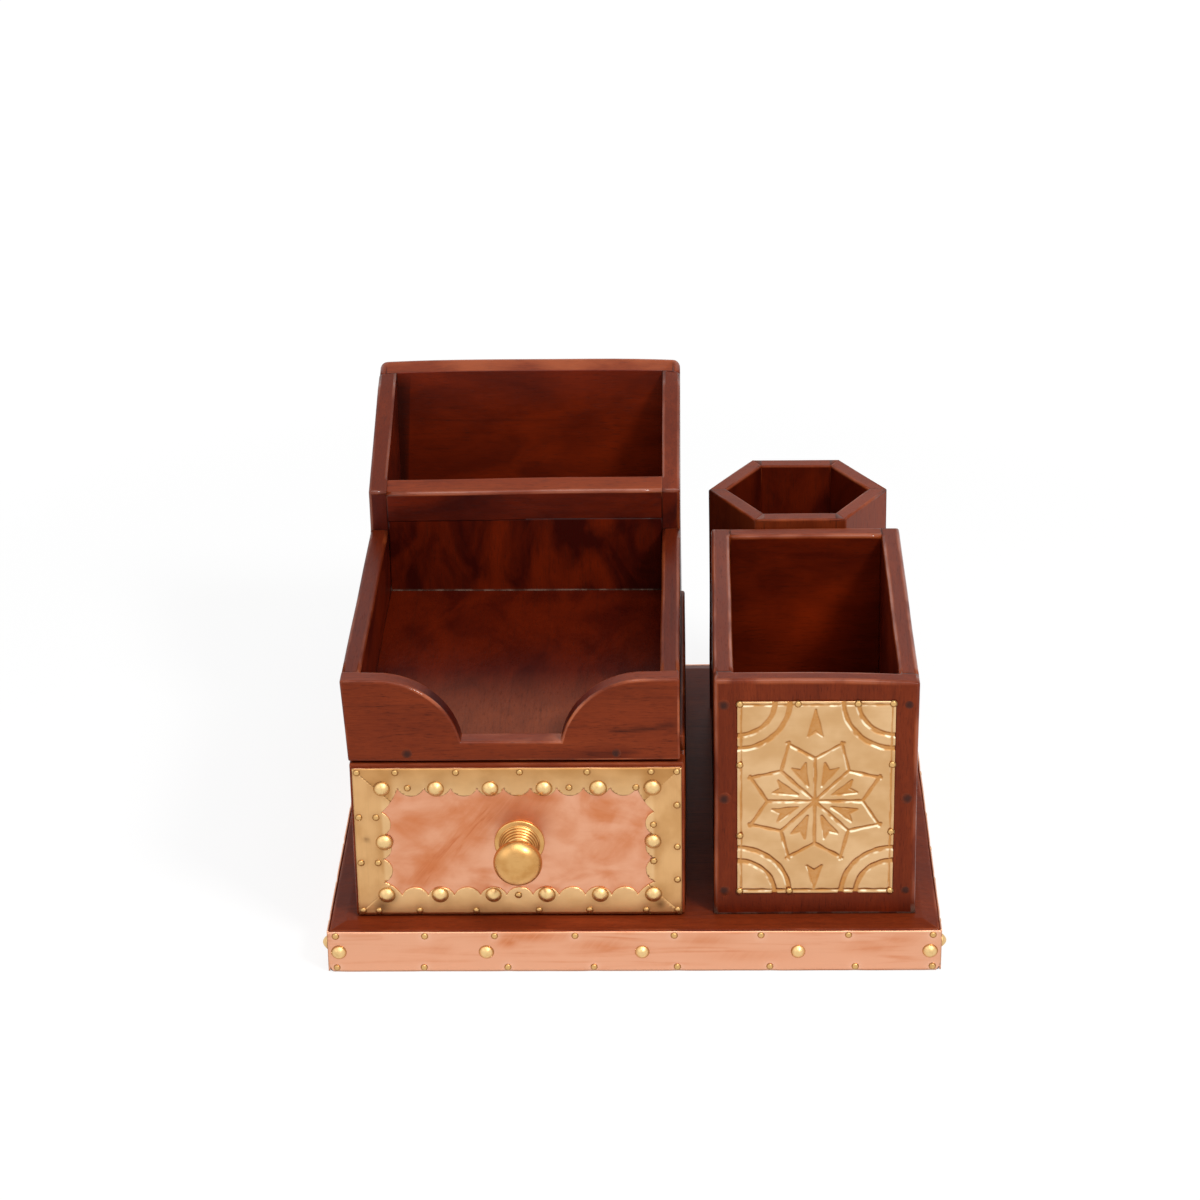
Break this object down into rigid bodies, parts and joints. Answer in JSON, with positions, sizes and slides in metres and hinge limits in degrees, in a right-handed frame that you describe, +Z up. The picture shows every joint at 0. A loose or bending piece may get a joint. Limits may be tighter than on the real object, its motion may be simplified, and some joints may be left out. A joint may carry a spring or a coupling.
{
  "type": "desk organizer with drawer",
  "caption": "Dark stained wooden desk organizer with a copper-edged base, copper and brass faced drawer, note tray, sloped letter rack, pen box with a brass star panel and a six-sided cup.",
  "frame": {"origin": "middle of the base board's underside, which rests on the desk", "axes": "+Z up, -Y towards the user, the way the drawer opens, +X to the user's right"},
  "size_m": [0.207, 0.2145, 0.1442],
  "materials": {
    "stained_wood": "dark red-brown stain under a worn gloss varnish",
    "copper_sheet": "thin copper sheet, polished and tarnished",
    "old_brass": "polished brass with tarnish round the nails",
    "steel": "plain steel wire"
  },
  "bodies": {
    "organizer": {"base_board": "stained_wood", "case_side_left": "stained_wood", "case_side_right": "stained_wood", "tray_floor": "stained_wood", "tray_front": "stained_wood", "tray_side_left": "stained_wood", "tray_side_right": "stained_wood", "rack_side_left": "stained_wood", "rack_side_right": "stained_wood", "rack_divider": "stained_wood", "rack_divider_rail": "stained_wood", "rack_back": "stained_wood", "pen_box_front": "stained_wood", "pen_box_back": "stained_wood", "pen_box_side_left": "stained_wood", "pen_box_side_right": "stained_wood", "cup_wall_back": "stained_wood", "cup_wall_back_left": "stained_wood", "cup_wall_front_left": "stained_wood", "cup_wall_front": "stained_wood", "cup_wall_front_right": "stained_wood", "cup_wall_back_right": "stained_wood", "base_band_front": "copper_sheet", "base_band_back": "copper_sheet", "base_band_left": "copper_sheet", "base_band_right": "copper_sheet", "base_dome_nails": "old_brass", "base_pins": "old_brass", "pen_box_panel": "old_brass", "pen_box_panel_pins": "old_brass", "assembly_brads": "steel"},
    "drawer": {"drawer_front": "stained_wood", "drawer_side_left": "stained_wood", "drawer_side_right": "stained_wood", "drawer_back": "stained_wood", "drawer_bottom": "stained_wood", "drawer_copper_sheet": "copper_sheet", "drawer_border_top": "old_brass", "drawer_border_bottom": "old_brass", "drawer_border_left": "old_brass", "drawer_border_right": "old_brass", "drawer_dome_nails": "old_brass", "drawer_pins": "old_brass", "knob_screw": "steel", "drawer_knob": "old_brass"}
  },
  "joints": [
    {"name": "drawer_slide", "type": "slide", "parent": "organizer", "child": "drawer", "axis": [0, -1, 0], "range_m": [0, 0.09]}
  ]
}
